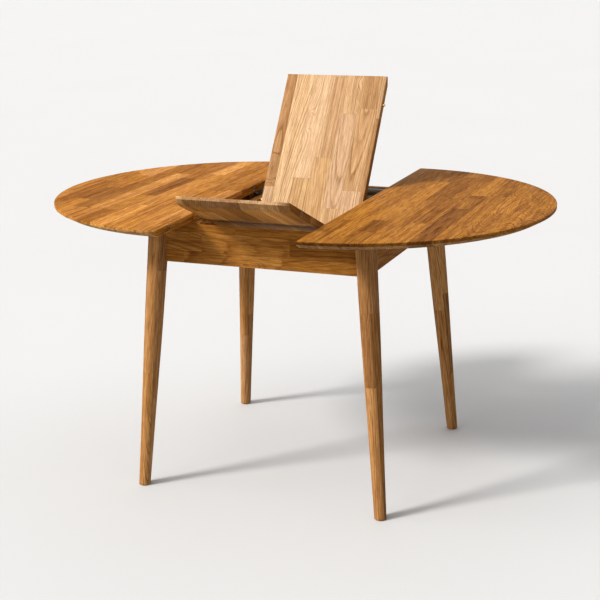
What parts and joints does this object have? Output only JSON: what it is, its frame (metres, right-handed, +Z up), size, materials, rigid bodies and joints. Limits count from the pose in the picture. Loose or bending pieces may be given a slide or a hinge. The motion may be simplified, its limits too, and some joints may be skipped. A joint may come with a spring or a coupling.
{
  "type": "butterfly leaf table",
  "caption": "Round dining table that pulls apart on steel slides; a two-part hinged leaf swings up out of the frame to fill the gap. Splayed round tapered legs.",
  "frame": {"origin": "on the floor under the middle of the table", "axes": "+X along the extension to the right half, -Y to the front, where the front leaf comes up, +Z up"},
  "size_m": [1.3719, 1, 1.0437],
  "materials": {
    "oak_top": "oiled satin",
    "oak_leaf": "oiled satin",
    "oak_leg": "oiled satin",
    "oak_apron": "oiled satin",
    "oak_inner": "oiled satin",
    "slide_steel": "zinc plated",
    "bracket_steel": "zinc plated",
    "socket_steel": "bright",
    "brass": "satin",
    "zinc_fastener": "zinc plated"
  },
  "bodies": {
    "frame": {"apron_front": "oak_apron", "apron_left": "oak_apron", "apron_rear": "oak_apron", "apron_right": "oak_apron", "bearer_left": "oak_inner", "bearer_right": "oak_inner", "corner_block_front_left": "oak_inner", "corner_block_front_right": "oak_inner", "corner_block_rear_left": "oak_inner", "corner_block_rear_right": "oak_inner", "leg_bolts": "zinc_fastener", "leg_front_left": "oak_leg", "leg_front_right": "oak_leg", "leg_nuts": "zinc_fastener", "leg_rear_left": "oak_leg", "leg_rear_right": "oak_leg", "leg_washers": "zinc_fastener", "pivot_bolt_left": "zinc_fastener", "pivot_bolt_right": "zinc_fastener", "slide_channel_front": "slide_steel", "slide_channel_rear": "slide_steel", "slide_screws": "zinc_fastener"},
    "half_left": {"bracket_screws_left": "zinc_fastener", "half_pins_left": "brass", "half_sockets_left": "socket_steel", "half_top_left": "oak_top", "runner_bolts_left": "zinc_fastener", "runner_front_left": "slide_steel", "runner_rear_left": "slide_steel", "top_bracket_front_left": "bracket_steel", "top_bracket_rear_left": "bracket_steel"},
    "half_right": {"bracket_screws_right": "zinc_fastener", "half_pins_right": "brass", "half_sockets_right": "socket_steel", "half_top_right": "oak_top", "runner_bolts_right": "zinc_fastener", "runner_front_right": "slide_steel", "runner_rear_right": "slide_steel", "top_bracket_front_right": "bracket_steel", "top_bracket_rear_right": "bracket_steel"},
    "leaf_rear": {"hinge_flaps_rear": "brass", "hinge_pins": "brass", "hinge_screws_rear": "brass", "leaf_rear": "oak_leaf", "leaf_rear_pins": "brass", "leaf_rear_socket": "socket_steel", "pivot_ear_left": "bracket_steel", "pivot_ear_right": "bracket_steel", "pivot_ear_screws": "zinc_fastener"},
    "leaf_front": {"hinge_flaps_front": "brass", "hinge_screws_front": "brass", "leaf_front": "oak_leaf", "leaf_front_pin": "brass", "leaf_front_socket": "socket_steel"}
  },
  "joints": [
    {"name": "left_half_slide", "type": "slide", "parent": "frame", "child": "half_left", "axis": [-1, 0, 0], "range_m": [-0.03585, 0]},
    {"name": "right_half_slide", "type": "slide", "parent": "frame", "child": "half_right", "axis": [1, 0, 0], "range_m": [-0.03585, 0]},
    {"name": "leaf_swing", "type": "hinge", "parent": "frame", "child": "leaf_rear", "pos_m": [0, 0.122, 0.704], "axis": [1, 0, 0], "range_deg": [-56.4, 70.5]},
    {"name": "leaf_fold", "type": "hinge", "parent": "leaf_rear", "child": "leaf_front", "pos_m": [0, 0.01596, 0.62798], "axis": [1, 0, 0], "range_deg": [-100.01, 80.01]}
  ],
  "couplings": [
    {"joint": "leaf_fold", "follows": "leaf_swing", "ratio": -1.4184}
  ]
}
